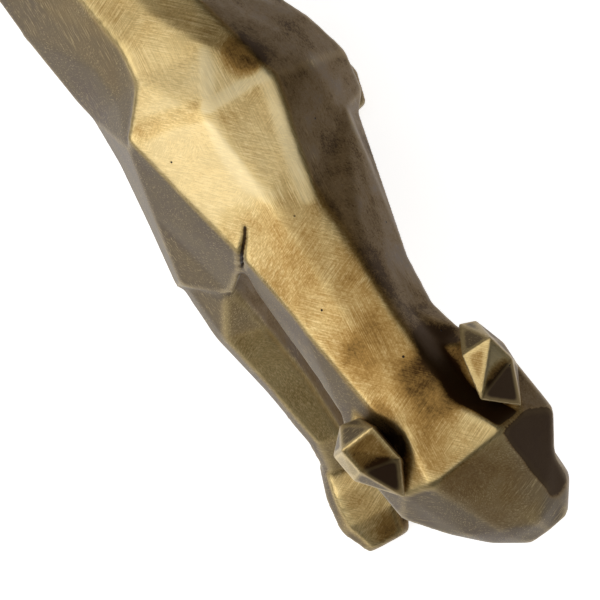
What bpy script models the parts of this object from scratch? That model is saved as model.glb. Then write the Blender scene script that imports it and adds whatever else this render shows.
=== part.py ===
"""Stalking big cat, a faceted table statue of cold-cast resin.

The statue is cast in sections: a hollow trunk with the shoulders and haunches, a hollow neck and head,
two ears, four legs and a tail. Steel rods stiffen the legs and the tail and run on into the trunk, a collar
bridges the neck joint, pins hold the ears, a stopper closes the casting hole in the belly, and each paw
stands on a soft pad.

Axes: +X is forwards, +Y is the cat's left and +Z is up. The sculpted points below are in millimetres, from
the ground and from the middle of the statue's length, and `sculpted` stretches them to the driving sizes.
"""

import math

import bmesh
import bpy
from mathutils import Matrix, Vector

MM = 0.001

# Driving sizes of the whole statue, in millimetres.
STATUE_LENGTH = 624.0
STATUE_WIDTH = 118.0
STATUE_HEIGHT = 124.0

# The sizes at which the sections below are drawn.
DRAWN_LENGTH = 624.0
DRAWN_WIDTH = 118.0
DRAWN_HEIGHT = 124.0

# Sizes of the pieces and their fits, in millimetres.
WALL = 5.0
CORE_HALF_WIDTH = 25.0
SEAM_GAP = 0.3
FIT_GAP = 0.3
ROD_DIAMETER = 4.0
ROD_ANCHOR = 24.0
ROD_END_COVER = 8.0
PORT_DIAMETER = 28.0
PORT_REACH = 30.0
COLLAR_LENGTH = 26.0
COLLAR_WALL = 2.5
PIN_DIAMETER = 3.0
PIN_LENGTH = 13.0
STOPPER_DIAMETER = 20.0
STOPPER_RIM = 2.5
STOPPER_RIM_THICKNESS = 2.0
STOPPER_LENGTH = 9.0
PAD_THICKNESS = 2.0
PAD_MARGIN = 2.0

ROUND_SIDES = 32
ROD_SIDES = 12

ANTIQUE_BRASS = ("antique_brass", (0.62, 0.45, 0.19, 1.0), 0.38, 1.0)
STEEL = ("steel", (0.55, 0.56, 0.58, 1.0), 0.35, 1.0)
GLASS_FIBRE = ("glass_fibre", (0.72, 0.68, 0.52, 1.0), 0.6, 0.0)
BLACK_RUBBER = ("black_rubber", (0.03, 0.03, 0.03, 1.0), 0.7, 0.0)
FELT = ("felt", (0.05, 0.045, 0.04, 1.0), 0.95, 0.0)


def sculpted(point):
    """A drawn point, stretched to the statue's driving sizes."""
    x, y, z = point
    return Vector(
        (
            x * STATUE_LENGTH / DRAWN_LENGTH,
            y * STATUE_WIDTH / DRAWN_WIDTH,
            z * STATUE_HEIGHT / DRAWN_HEIGHT,
        )
    )


def mirrored(points):
    """The same points on the cat's other side."""
    return [(x, -y, z) for x, y, z in points]


def section(spine, right, belly, left=None):
    """One ring round the body: spine, down the right side, belly, and up the left side."""
    left = mirrored(right) if left is None else left
    return [spine, *right, belly, *reversed(left)]


# ---------------------------------------------------------------------------------------------------------
# Trunk. Each side lists the crest edge, the upper flank, the widest point, the lower edge and the belly edge.
# The right shoulder reaches forwards and the left one backwards, and the haunches the other way round.
# ---------------------------------------------------------------------------------------------------------
TRUNK = [
    section(
        (-160, 0, 92),
        [(-160, -6, 89), (-161, -9, 84), (-161, -10, 79), (-160, -8, 71), (-158, -4, 68)],
        (-158, 0, 67),
    ),
    section(
        (-138, 0, 104),
        [(-138, -13, 101), (-140, -24, 91), (-142, -30, 79), (-140, -27, 60), (-136, -13, 54)],
        (-134, 0, 53),
    ),
    section(
        (-108, 0, 113),
        [(-112, -14, 110), (-114, -31, 97), (-118, -42, 78), (-124, -43, 54), (-112, -20, 50)],
        (-106, 0, 49),
        left=[(-106, 16, 110), (-107, 32, 97), (-106, 43, 78), (-100, 44, 53), (-102, 20, 50)],
    ),
    section(
        (-72, 0, 114),
        [(-72, -12, 111), (-76, -30, 98), (-82, -42, 76), (-86, -43, 57), (-76, -20, 50)],
        (-70, 0, 49),
        left=[(-70, 14, 111), (-68, 32, 98), (-64, 43, 76), (-60, 45, 57), (-64, 20, 50)],
    ),
    section(
        (-28, 1, 107),
        [(-30, -9, 105), (-29, -24, 93), (-28, -33, 78), (-26, -25, 58), (-26, -13, 51)],
        (-26, 0, 49),
        left=[(-28, 11, 105), (-28, 25, 93), (-27, 33, 78), (-26, 25, 58), (-26, 13, 51)],
    ),
    section(
        (18, 2, 105),
        [(20, -8, 103), (17, -22, 91), (16, -33, 75), (16, -27, 53), (16, -14, 45)],
        (16, 0, 43),
        left=[(20, 12, 103), (17, 25, 91), (16, 34, 75), (16, 28, 53), (16, 14, 45)],
    ),
    section(
        (60, 4, 110.5),
        [(68, -7, 110), (62, -21, 93), (57, -35.2, 74), (56, -29, 52), (56, -15, 43)],
        (56, 0, 41),
        left=[(64, 16, 109), (61, 27, 93), (57, 35, 75), (56, 29, 52), (56, 15, 43)],
    ),
    section(
        (92, 8, 116.5),
        [(94.7, -5.9, 116), (90, -20, 98), (86, -34.6, 75), (88, -32, 52), (86, -16, 42)],
        (86, 0, 39),
        left=[(96, 24, 113), (98, 33, 98), (97, 42, 79), (90, 35, 54), (86, 16, 42)],
    ),
    section(
        (113, 16, 119),
        [(106.5, -8.6, 116), (104, -20, 101), (98, -33.5, 76), (100, -34, 52), (100, -18, 41)],
        (100, 0, 38),
        left=[(121, 27.4, 116), (122, 38, 101), (120, 49, 83), (104, 41, 55), (100, 18, 41)],
    ),
    section(
        (131, 3, 122.5),
        [(119, -24, 112), (121, -26.5, 107), (115, -37, 68), (122, -38, 48), (116, -20, 40)],
        (114, 0, 38),
        left=[(135, 28.5, 117), (137, 41, 101), (137, 51.5, 80), (118, 45, 56), (112, 20, 42)],
    ),
    section(
        (148.5, 2.5, 120.8),
        [(147, -21.2, 111), (140.5, -36, 89), (137, -43, 62), (140, -42, 46), (138, -20, 42)],
        (138, 0, 43),
        left=[(150, 23.3, 117), (151, 37, 97), (150.5, 47.4, 73), (140, 42, 54), (136, 20, 43)],
    ),
    section(
        (166, 2, 119),
        [(175.3, -18.3, 110), (179.0, -32.6, 84), (163.5, -47, 69), (161, -50, 57), (156, -22, 48)],
        (154, 0, 50),
        left=[(173.5, 15.2, 115), (154.5, 39.5, 89), (157, 40, 72), (147, 32, 58), (150, 14, 52)],
    ),
]

# ---------------------------------------------------------------------------------------------------------
# Neck and head. Each side lists the crest edge, the groove beside it, the cheek, the jaw and the throat edge.
# The second section lies on the trunk's front edge, so that neck and trunk run into each other.
# ---------------------------------------------------------------------------------------------------------
NECK_AND_HEAD = [
    section(
        (150, 1, 112),
        [(150, -12, 104), (150, -15, 97), (150, -16, 88), (150, -14, 78), (150, -8, 72)],
        (150, 0, 70),
        left=[(150, 14, 104), (148, 22, 95), (146, 26, 84), (146, 20, 76), (150, 9, 72)],
    ),
    section(
        (167, 2, 118.8),
        [(175.3, -18.3, 110), (181, -22, 100), (185, -24, 90), (180, -20, 72), (170, -10, 64)],
        (164, 0, 62),
        left=[(173.5, 15.2, 115), (154.5, 39.5, 89), (157, 41, 72), (150, 30, 63), (156, 14, 62)],
    ),
    section(
        (206, -2, 114.5),
        [(206, -17, 110.5), (207, -21.5, 101), (208, -25, 91), (205, -20, 74), (203, -9, 67)],
        (202, -1, 66),
        left=[(205, 12.5, 113), (206, 19, 100), (207, 24.3, 86), (203, 19, 72), (202, 8, 67)],
    ),
    section(
        (224, -3, 113.8),
        [(224, -16.3, 110.7), (223, -22, 102), (222, -25.5, 93), (221, -20, 75), (220, -9, 67)],
        (219, -1.5, 66),
        left=[(222, 11, 113), (224, 15, 101), (226, 21.0, 89), (221, 15, 73), (219, 6.5, 67)],
    ),
    section(
        (240, -3.5, 113.5),
        [(241, -15.7, 111), (238, -21.5, 103), (236.5, -26.5, 95), (236, -22, 76), (236, -10, 66)],
        (236, -1.5, 65),
        left=[(238, 9.5, 113), (239, 14.5, 103), (238, 23, 95), (237, 19.5, 76), (236, 8, 66)],
    ),
    section(
        (256, -2.4, 114.3),
        [(256, -11.3, 114), (254, -18.5, 106), (250, -32, 101), (252, -31, 80), (250, -14, 64)],
        (250, -1, 62),
        left=[(256, 6.4, 114), (257, 14, 105), (251, 31, 101), (252, 30, 80), (250, 13, 64)],
    ),
    section(
        (274, -1, 112.3),
        [(274.2, -15.7, 112), (271, -25.6, 105.5), (277, -33, 89), (275.5, -30.5, 76), (272, -17, 61)],
        (272, 0, 57),
        left=[(274.1, 13.7, 112), (273.7, 22.4, 104.5), (279.2, 30.8, 91), (277, 28.5, 76), (272, 17, 61)],
    ),
    section(
        (300.8, 1, 85.5),
        [(300.6, -9.3, 84.5), (295, -19.5, 84), (290, -25.2, 82), (289.5, -24.3, 66), (288, -14, 54)],
        (288, 0, 51),
        left=[(298.8, 12, 85.5), (290.3, 21.5, 85.5), (291.3, 21.1, 80), (288, 21, 66), (288, 14, 54)],
    ),
    section(
        (307, 2, 79),
        [(305, -9, 77.5), (303, -15, 74), (301, -17.3, 70), (300, -15, 61), (300, -8, 54)],
        (300, 1, 51),
        left=[(304, 12.5, 78), (302.4, 18.1, 74.5), (300.5, 20.2, 70), (299, 17, 62), (300, 9, 54)],
    ),
    section(
        (311.8, 2.6, 69),
        [(311.5, -4.6, 67), (310.5, -6.5, 64), (309, -8, 61), (307, -7, 57), (305, -4, 54)],
        (305, 1.5, 53),
        left=[(311.3, 10.2, 68), (310.2, 11.6, 65), (308, 12, 62), (306, 10, 57), (305, 6.5, 54)],
    ),
]

# ---------------------------------------------------------------------------------------------------------
# Ears. Each ear's top, outer slope, front foot and back foot stand on a stem that goes into the skull.
# ---------------------------------------------------------------------------------------------------------
RIGHT_EAR_TOP = [(247, -30, 122), (247.8, -18.3, 124), (260.5, -18, 119), (256.3, -30.3, 118)]
RIGHT_EAR_FEET = [
    (246.5, -35, 111),
    (257, -34.8, 110),
    (270.8, -25.4, 107.5),
    (240, -27.5, 108),
    (242, -21, 109),
]
RIGHT_EAR_STEM = [(247.5, -30, 95), (247.5, -19, 95), (264, -19, 95), (262, -29, 95)]
RIGHT_EAR_PIN = (253, -25, 116)
LEFT_EAR_TOP = [(248.5, 30.4, 122.5), (247.7, 20.5, 122), (261.7, 16.4, 120), (257.8, 31.3, 116)]
LEFT_EAR_FEET = [(252, 32, 108), (260, 31, 104), (271, 23.6, 104.5), (240.5, 29.2, 108), (238.3, 24.8, 108)]
LEFT_EAR_STEM = [(247.5, 29, 95), (247.5, 19, 95), (264, 18, 95), (262, 28, 95)]
LEFT_EAR_PIN = (253, 25, 115)

# ---------------------------------------------------------------------------------------------------------
# Limbs, from inside the trunk to the ankle. The reaching foreleg has a section at each change of facet: its
# upper outer edge, outer side, lower outer edge, lower inner edge, inner side and upper inner edge. The other
# legs taper evenly, and each of their stations is a centre, a half width and a half depth.
# ---------------------------------------------------------------------------------------------------------
RIGHT_FORELEG = [
    [(150, -35, 82), (148, -39, 72), (148, -37, 58), (150, -24, 56), (152, -20, 70), (153, -24, 84)],
    [(164, -45, 68), (161, -48, 58), (160, -43, 47), (165, -27, 46), (171, -24, 62), (174, -31, 85)],
    [(188, -47, 62), (184.6, -50.5, 54), (179, -46, 43), (183, -27, 40), (190, -25, 50), (193.5, -32.5, 63)],
    [(212, -47, 47), (209, -50, 40), (206, -46, 32), (211, -30, 26), (215, -28, 36), (216, -34.5, 46)],
    [(236, -48, 32), (233, -51.5, 26), (230, -47, 19), (234, -35, 14), (239, -32.5, 22), (239, -38.5, 32)],
    [(251, -54, 15), (249, -56, 11), (247, -53, 7), (247, -45, 7), (250, -43, 11), (252, -46, 15)],
]
LEFT_FORELEG = [
    ((130, 33, 68), 8.5, 12.0),
    ((122, 35, 44), 9.0, 11.0),
    ((112, 34, 30), 7.2, 8.0),
    ((110, 34, 20), 7.0, 7.0),
    ((112, 34, 10), 7.0, 6.0),
]
LEFT_HINDLEG = [
    ((-78, 31, 70), 7.0, 13.0),
    ((-80, 33.5, 46), 9.0, 13.5),
    ((-94, 34, 33), 7.6, 8.5),
    ((-98, 34, 22), 7.0, 7.2),
    ((-93, 35, 10), 7.0, 6.0),
]
RIGHT_HINDLEG = [
    ((-106, -31, 70), 7.0, 13.0),
    ((-112, -33.5, 47), 9.0, 13.0),
    ((-136, -34, 33), 7.6, 8.5),
    ((-144, -34, 22), 7.0, 7.2),
    ((-139, -35, 10), 7.0, 6.0),
]

# Each paw's heel and its heading in degrees towards the left.
RIGHT_FOREPAW = ((241.0, -46.8, 0), -9.0)
LEFT_FOREPAW = ((104, 34, 0), 2.0)
LEFT_HINDPAW = ((-101, 35, 0), 2.0)
RIGHT_HINDPAW = ((-147, -35, 0), -2.0)

# Paw stations from the heel to the toes: distance forwards, half width, and the heights of the underside and
# of the top over the sole.
PAW = [(2.0, 8.5, 0.0, 16.7), (16.0, 13.0, 0.0, 14.7), (29.0, 14.2, 0.0, 11.2), (40.5, 9.0, 0.7, 6.2)]

# ---------------------------------------------------------------------------------------------------------
# Tail. Each station is a centre, a half width and a half depth, from inside the rump to the tip.
# ---------------------------------------------------------------------------------------------------------
TAIL = [
    ((-146, 0, 86), 8.0, 7.4),
    ((-166, 0, 76), 8.6, 7.8),
    ((-192, 1, 56), 8.2, 7.4),
    ((-222, 2, 38), 7.6, 6.8),
    ((-256, 3, 29), 7.0, 6.4),
    ((-286, 4, 33), 6.6, 6.0),
    ((-304, 5, 47), 6.0, 5.4),
    ((-308, 5.5, 60), 3.6, 3.4),
]

STOPPER_STATION = 20.0


def material(look):
    """The Blender material for a named colour, roughness and metallic value."""
    name, colour, roughness, metallic = look
    made = bpy.data.materials.get(name)
    if made is None:
        made = bpy.data.materials.new(name)
        made.use_nodes = True
        shader = made.node_tree.nodes["Principled BSDF"]
        shader.inputs["Base Color"].default_value = colour
        shader.inputs["Roughness"].default_value = roughness
        shader.inputs["Metallic"].default_value = metallic
        made.diffuse_color = colour
    return made


def solid_object(name, mesh_data, look=None):
    """A new object from a finished bmesh, with its faces pointing outwards. Frees the bmesh."""
    bmesh.ops.recalc_face_normals(mesh_data, faces=mesh_data.faces)
    mesh = bpy.data.meshes.new(name)
    mesh_data.to_mesh(mesh)
    mesh_data.free()
    made = bpy.data.objects.new(name, mesh)
    bpy.context.scene.collection.objects.link(made)
    if look is not None:
        mesh.materials.append(material(look))
    return made


def centre_of(points):
    """The mean of some points."""
    return sum(points, Vector()) / len(points)


def faceted_loft(rings):
    """A closed bmesh through rings with the same number of points, each quad split along its outer ridge."""
    made = bmesh.new()
    vertices = [[made.verts.new(point * MM) for point in ring] for ring in rings]
    for lower, upper in zip(vertices, vertices[1:]):
        axis_point = centre_of([v.co for v in lower + upper])
        for i in range(len(lower)):
            j = (i + 1) % len(lower)
            ridge = (lower[i].co + upper[j].co) / 2 - axis_point
            valley = (lower[j].co + upper[i].co) / 2 - axis_point
            if ridge.length >= valley.length:
                made.faces.new((lower[i], lower[j], upper[j]))
                made.faces.new((lower[i], upper[j], upper[i]))
            else:
                made.faces.new((lower[i], lower[j], upper[i]))
                made.faces.new((lower[j], upper[j], upper[i]))
    for ring in (vertices[0], vertices[-1]):
        middle = made.verts.new(centre_of([v.co for v in ring]))
        for i, vertex in enumerate(ring):
            made.faces.new((vertex, ring[(i + 1) % len(ring)], middle))
    return made


def hexagon(centre, along, half_width, half_depth):
    """Six points round a limb: its flat front, its sides and its flat back, square to the limb's direction."""
    side = Vector((0, 1, 0))
    side = (side - side.dot(along) * along).normalized()
    front = side.cross(along)
    flat = 0.6 * half_width
    return [
        centre + side * flat + front * half_depth,
        centre + side * half_width,
        centre + side * flat - front * half_depth,
        centre - side * flat - front * half_depth,
        centre - side * half_width,
        centre - side * flat + front * half_depth,
    ]


def directions(centres):
    """The direction of travel at each point of a path."""
    steps = [(b - a).normalized() for a, b in zip(centres, centres[1:])]
    return [steps[0], *[(a + b).normalized() for a, b in zip(steps, steps[1:])], steps[-1]]


def turned_profile(points, sides):
    """A closed bmesh turned about Z from (radius, height) points, listed upwards along the outside."""
    made = bmesh.new()
    rings = []
    for radius, height in points:
        angles = [2 * math.pi * i / sides for i in range(sides)]
        circle = [Vector((radius * math.cos(a), radius * math.sin(a), height)) for a in angles]
        rings.append([made.verts.new(point * MM) for point in circle])
    for lower, upper in zip(rings, rings[1:]):
        for i in range(sides):
            j = (i + 1) % sides
            made.faces.new((lower[i], lower[j], upper[j], upper[i]))
    made.faces.new(reversed(rings[0]))
    made.faces.new(rings[-1])
    return made


def along_axis(made, start, direction):
    """Turns an object built on +Z to run from a point, in millimetres, in a direction."""
    turn = direction.to_track_quat("Z", "Y").to_matrix().to_4x4()
    made.data.transform(Matrix.Translation(start * MM) @ turn)
    return made


def cylinder(name, start, direction, length, radius, look=None):
    """A round bar from a point in a direction."""
    bar = turned_profile([(radius, 0.0), (radius, length)], ROUND_SIDES)
    return along_axis(solid_object(name, bar, look), start, direction)


def swept_bar(name, path, radius, look=None):
    """A round bar along a path of points."""
    rings = []
    for centre, along in zip(path, directions(path)):
        side = along.orthogonal() if abs(along.y) > 0.9 else Vector((0, 1, 0)).cross(along)
        side.normalize()
        other = along.cross(side)
        angles = [2 * math.pi * i / ROD_SIDES for i in range(ROD_SIDES)]
        rings.append([centre + (side * math.cos(a) + other * math.sin(a)) * radius for a in angles])
    return solid_object(name, faceted_loft(rings), look)


def grown(source, amount, name):
    """A copy of a closed object whose faces all stand out by an amount in millimetres."""
    shape = bmesh.new()
    shape.from_mesh(source.data)
    bmesh.ops.dissolve_limit(shape, angle_limit=math.radians(0.05), verts=shape.verts, edges=shape.edges)
    bmesh.ops.triangulate(shape, faces=shape.faces)
    shape.normal_update()
    moves = {}
    for vertex in shape.verts:
        normals = [face.normal for face in vertex.link_faces]
        mean = sum(normals, Vector()).normalized()
        least = min(mean.dot(normal) for normal in normals)
        moves[vertex] = mean * amount * MM / max(least, 0.35)
    for vertex, move in moves.items():
        vertex.co += move
    return solid_object(name, shape)


def combine(target, tool, operation, keep_tool=False):
    """Applies an exact Boolean to the target's mesh, and removes the tool."""
    modifier = target.modifiers.new("combine", "BOOLEAN")
    modifier.operation = operation
    modifier.solver = "EXACT"
    modifier.object = tool
    bpy.context.view_layer.update()
    result = bpy.data.meshes.new_from_object(target.evaluated_get(bpy.context.evaluated_depsgraph_get()))
    target.modifiers.remove(modifier)
    result.name = target.name
    target.data = result
    if not keep_tool:
        bpy.data.objects.remove(tool)
    return target


def cut(target, *tools):
    """Takes each tool away from the target."""
    for tool in tools:
        combine(target, tool, "DIFFERENCE")
    return target


def join(target, *tools):
    """Joins each tool to the target."""
    for tool in tools:
        combine(target, tool, "UNION")
    return target


def cut_clear_of(target, neighbour, gap):
    """Cuts the target back from its neighbour, so that a seam of the gap's width is left."""
    return cut(target, grown(neighbour, gap, "seam_cutter"))


# ---------------------------------------------------------------------------------------------------------
# The castings' outer shapes.
# ---------------------------------------------------------------------------------------------------------
def lofted_sections(sections):
    """The sculpted loft through a list of body sections."""
    return faceted_loft([[sculpted(point) for point in ring] for ring in sections])


def make_trunk():
    """The body from the rump to the base of the neck, with the shoulders and haunches."""
    return solid_object("trunk_shell", lofted_sections(TRUNK), ANTIQUE_BRASS)


def make_neck_and_head():
    """The neck and head, whose first section lies inside the trunk."""
    return solid_object("neck_head_shell", lofted_sections(NECK_AND_HEAD), ANTIQUE_BRASS)


def make_ear(name, points):
    """One ear: the hull of its top, its feet and its stem."""
    made = bmesh.new()
    for point in points:
        made.verts.new(sculpted(point) * MM)
    bmesh.ops.convex_hull(made, input=made.verts)
    return solid_object(name, made, ANTIQUE_BRASS)


def tapered_sections(stations):
    """The hexagonal rings of an evenly tapering limb."""
    centres = [sculpted(centre) for centre, _, _ in stations]
    return [
        hexagon(centre, along, half_width, half_depth)
        for centre, along, (_, half_width, half_depth) in zip(centres, directions(centres), stations)
    ]


def paw_rings(heel, heading):
    """The paw's rings from heel to toes: flat top, sides and a flat sole that stands on the pad."""
    forwards = Vector((math.cos(math.radians(heading)), math.sin(math.radians(heading)), 0))
    side = Vector((-forwards.y, forwards.x, 0))
    sole = Vector((0, 0, PAD_THICKNESS + FIT_GAP))
    rings = []
    for distance, half_width, underside, top in PAW:
        base = Vector((heel[0], heel[1], 0)) + forwards * distance
        middle = (underside + top) / 2
        flat = 0.62 * half_width
        outline = [
            (flat, top),
            (half_width, middle),
            (0.86 * half_width, underside),
            (-0.86 * half_width, underside),
            (-half_width, middle),
            (-flat, top),
        ]
        rings.append([sculpted(base + side * y + Vector((0, 0, z))) + sole for y, z in outline])
    return rings


def make_leg(name, rings, paw):
    """One leg: a faceted limb from inside the trunk to the ankle, joined to its paw."""
    leg = solid_object(name, faceted_loft(rings), ANTIQUE_BRASS)
    return join(leg, solid_object("paw", faceted_loft(paw_rings(*paw))))


def make_tail(rings):
    """The tail: a tapering hexagonal bar from inside the rump to the tip."""
    return solid_object("tail", faceted_loft(rings), ANTIQUE_BRASS)


# ---------------------------------------------------------------------------------------------------------
# Hollows.
# ---------------------------------------------------------------------------------------------------------
def inset_ring(ring, wall, widest):
    """A ring moved inwards by a wall, and no wider than a half width from its own middle."""
    middle = centre_of(ring)
    inner = []
    for point in ring:
        offset = point - middle
        across = Vector((0, offset.y, offset.z))
        length = max(across.length - wall * 1.15, across.length * 0.3)
        across = across.normalized() * length
        across.y = max(-widest, min(widest, across.y))
        inner.append(middle + across + Vector((offset.x * 0.5, 0, 0)))
    return inner


def trunk_core():
    """The hollow inside the trunk, kept clear of the shoulders and haunches, which stay solid."""
    rings = [inset_ring([sculpted(p) for p in ring], WALL, CORE_HALF_WIDTH) for ring in TRUNK[2:-1]]
    return solid_object("trunk_core", faceted_loft(rings))


def head_core():
    """The hollow inside the neck and the back of the skull."""
    rings = [inset_ring([sculpted(p) for p in ring], WALL, CORE_HALF_WIDTH) for ring in NECK_AND_HEAD[2:7]]
    return solid_object("head_core", faceted_loft(rings))


def neck_axis():
    """The neck joint's centre and its direction towards the head."""
    root = centre_of([sculpted(p) for p in NECK_AND_HEAD[1]])
    nape = centre_of([sculpted(p) for p in NECK_AND_HEAD[2]])
    trunk_end = centre_of([sculpted(p) for p in TRUNK[-1]])
    direction = (nape - trunk_end).normalized()
    return root, direction


def neck_port():
    """The round opening through the neck joint, which takes the collar and joins the two hollows."""
    root, direction = neck_axis()
    reach = PORT_REACH + COLLAR_LENGTH / 2
    return cylinder("neck_port", root - direction * reach, direction, 2 * reach, PORT_DIAMETER / 2)


# ---------------------------------------------------------------------------------------------------------
# Fittings.
# ---------------------------------------------------------------------------------------------------------
def make_collar():
    """The glued sleeve inside the neck joint."""
    root, direction = neck_axis()
    outer = PORT_DIAMETER / 2 - FIT_GAP
    start = root - direction * COLLAR_LENGTH / 2
    collar = cylinder("neck_collar", start, direction, COLLAR_LENGTH, outer, GLASS_FIBRE)
    past = direction * WALL
    bore = cylinder("bore", start - past, direction, COLLAR_LENGTH + 2 * WALL, outer - COLLAR_WALL)
    return cut(collar, bore)


def rod_path(rings):
    """A rod's path: anchored in the trunk, down the middle of the limb, and stopping inside its end."""
    centres = [centre_of(ring) for ring in rings]
    first = (centres[0] - centres[1]).normalized()
    last = (centres[-1] - centres[-2]).normalized()
    anchor = centres[1] + first * ROD_ANCHOR
    return [anchor, *centres[1:-1], centres[-1] - last * ROD_END_COVER]


def fit_rod(name, path, limb, trunk):
    """Makes a steel rod and bores the limb and the trunk for it."""
    for casting in (limb, trunk):
        cut(casting, swept_bar("rod_bore", longer(path, FIT_GAP), ROD_DIAMETER / 2 + FIT_GAP))
    return swept_bar(name, path, ROD_DIAMETER / 2, STEEL)


def longer(path, extra):
    """A path whose two ends run on by an extra length."""
    first = (path[0] - path[1]).normalized()
    last = (path[-1] - path[-2]).normalized()
    return [path[0] + first * extra, *path[1:-1], path[-1] + last * extra]


def fit_ear_pin(name, top, ear, head):
    """Makes an ear's locating pin and bores the ear and the skull for it."""
    top = sculpted(top)
    down = Vector((0, 0, -1))
    for casting in (ear, head):
        bore_start = top - down * FIT_GAP
        bore = cylinder("pin_bore", bore_start, down, PIN_LENGTH + 2 * FIT_GAP, PIN_DIAMETER / 2 + FIT_GAP)
        cut(casting, bore)
    return cylinder(name, top, down, PIN_LENGTH, PIN_DIAMETER / 2, STEEL)


def belly_height(trunk, station):
    """The height of the trunk's underside, in millimetres, at a station on the middle plane."""
    hit, place, _, _ = trunk.ray_cast(Vector((station * MM, 0, 0)), Vector((0, 0, 1)))
    return place.z / MM if hit else 0.0


def fit_stopper(trunk):
    """Makes the belly stopper, and cuts its hole and the flat seat of its rim."""
    station = sculpted((STOPPER_STATION, 0, 0)).x
    bottom = belly_height(trunk, station)
    up = Vector((0, 0, 1))
    radius = STOPPER_DIAMETER / 2
    rim_radius = radius + STOPPER_RIM
    seat_top = bottom + STOPPER_RIM_THICKNESS + 1.0
    seat_start = Vector((station, 0, bottom - WALL))
    seat = cylinder("seat", seat_start, up, seat_top - bottom + WALL, rim_radius + FIT_GAP)
    hole = cylinder("hole", Vector((station, 0, bottom - WALL)), up, 4 * WALL, radius + FIT_GAP)
    cut(trunk, seat, hole)
    underside = seat_top - FIT_GAP - STOPPER_RIM_THICKNESS
    profile = [
        (rim_radius - 0.6, 0.0),
        (rim_radius, 0.6),
        (rim_radius, STOPPER_RIM_THICKNESS),
        (radius, STOPPER_RIM_THICKNESS),
        (radius, STOPPER_LENGTH - 1.0),
        (radius - 1.0, STOPPER_LENGTH),
    ]
    stopper = solid_object("belly_stopper", turned_profile(profile, ROUND_SIDES), BLACK_RUBBER)
    return along_axis(stopper, Vector((station, 0, underside)), up)


def make_pad(name, paw):
    """The soft pad under one paw, which follows the sole's outline."""
    heel, heading = paw
    standing = paw_rings(heel, heading)[:3]
    outline = [ring[2] for ring in standing] + [ring[3] for ring in reversed(standing)]
    middle = centre_of(outline)
    made = bmesh.new()
    levels = []
    for height in (0.0, PAD_THICKNESS):
        level = []
        for point in outline:
            offset = point - middle
            offset.z = 0
            inset = offset * (1 - PAD_MARGIN / offset.length)
            level.append(made.verts.new(Vector((middle.x + inset.x, middle.y + inset.y, height)) * MM))
        levels.append(level)
    count = len(outline)
    for i in range(count):
        j = (i + 1) % count
        made.faces.new((levels[0][i], levels[0][j], levels[1][j], levels[1][i]))
    made.faces.new(levels[0])
    made.faces.new(levels[1])
    return solid_object(name, made, FELT)


def centre_on_footprint(pieces):
    """Moves the pieces so that the statue's box is centred on the origin, with its pads on the ground."""
    corners = [v.co for piece in pieces for v in piece.data.vertices]
    low = Vector(min(c[i] for c in corners) for i in range(3))
    high = Vector(max(c[i] for c in corners) for i in range(3))
    middle = (low + high) / 2
    for piece in pieces:
        piece.data.transform(Matrix.Translation((-middle.x, -middle.y, -low.z)))


def build():
    """Builds the statue's pieces, and parents them to one empty."""
    for old in list(bpy.data.objects):
        bpy.data.objects.remove(old)

    trunk = make_trunk()
    head = cut_clear_of(make_neck_and_head(), trunk, SEAM_GAP)
    right_ear = make_ear("right_ear", [*RIGHT_EAR_TOP, *RIGHT_EAR_FEET, *RIGHT_EAR_STEM])
    left_ear = make_ear("left_ear", [*LEFT_EAR_TOP, *LEFT_EAR_FEET, *LEFT_EAR_STEM])
    for ear in (right_ear, left_ear):
        cut_clear_of(ear, head, SEAM_GAP)

    limbs = {
        "right_foreleg": ([[sculpted(point) for point in ring] for ring in RIGHT_FORELEG], RIGHT_FOREPAW),
        "left_foreleg": (tapered_sections(LEFT_FORELEG), LEFT_FOREPAW),
        "right_hindleg": (tapered_sections(RIGHT_HINDLEG), RIGHT_HINDPAW),
        "left_hindleg": (tapered_sections(LEFT_HINDLEG), LEFT_HINDPAW),
    }
    legs = {}
    for name, (rings, paw) in limbs.items():
        legs[name] = cut_clear_of(make_leg(name, rings, paw), trunk, SEAM_GAP)
    tail_rings = tapered_sections(TAIL)
    tail = cut_clear_of(make_tail(tail_rings), trunk, SEAM_GAP)

    cut(trunk, trunk_core(), neck_port())
    cut(head, head_core(), neck_port())
    pieces = [trunk, head, right_ear, left_ear, *legs.values(), tail, make_collar()]

    for name, (rings, paw) in limbs.items():
        pieces.append(fit_rod(f"{name}_rod", rod_path(rings), legs[name], trunk))
        pieces.append(make_pad(f"{name}_pad", paw))
    pieces.append(fit_rod("tail_rod", rod_path(tail_rings), tail, trunk))
    pieces.append(fit_ear_pin("right_ear_pin", RIGHT_EAR_PIN, right_ear, head))
    pieces.append(fit_ear_pin("left_ear_pin", LEFT_EAR_PIN, left_ear, head))
    pieces.append(fit_stopper(trunk))

    centre_on_footprint(pieces)
    statue = bpy.data.objects.new("statue", None)
    bpy.context.scene.collection.objects.link(statue)
    for piece in pieces:
        piece.parent = statue
        for look in piece.data.materials[1:]:
            piece.data.materials.pop()


build()
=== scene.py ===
"""Skins and studio for the stalking cat statue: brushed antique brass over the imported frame."""
import math

import bmesh
import bpy
import numpy as np
from mathutils import Matrix, Vector
from mathutils.bvhtree import BVHTree


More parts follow.
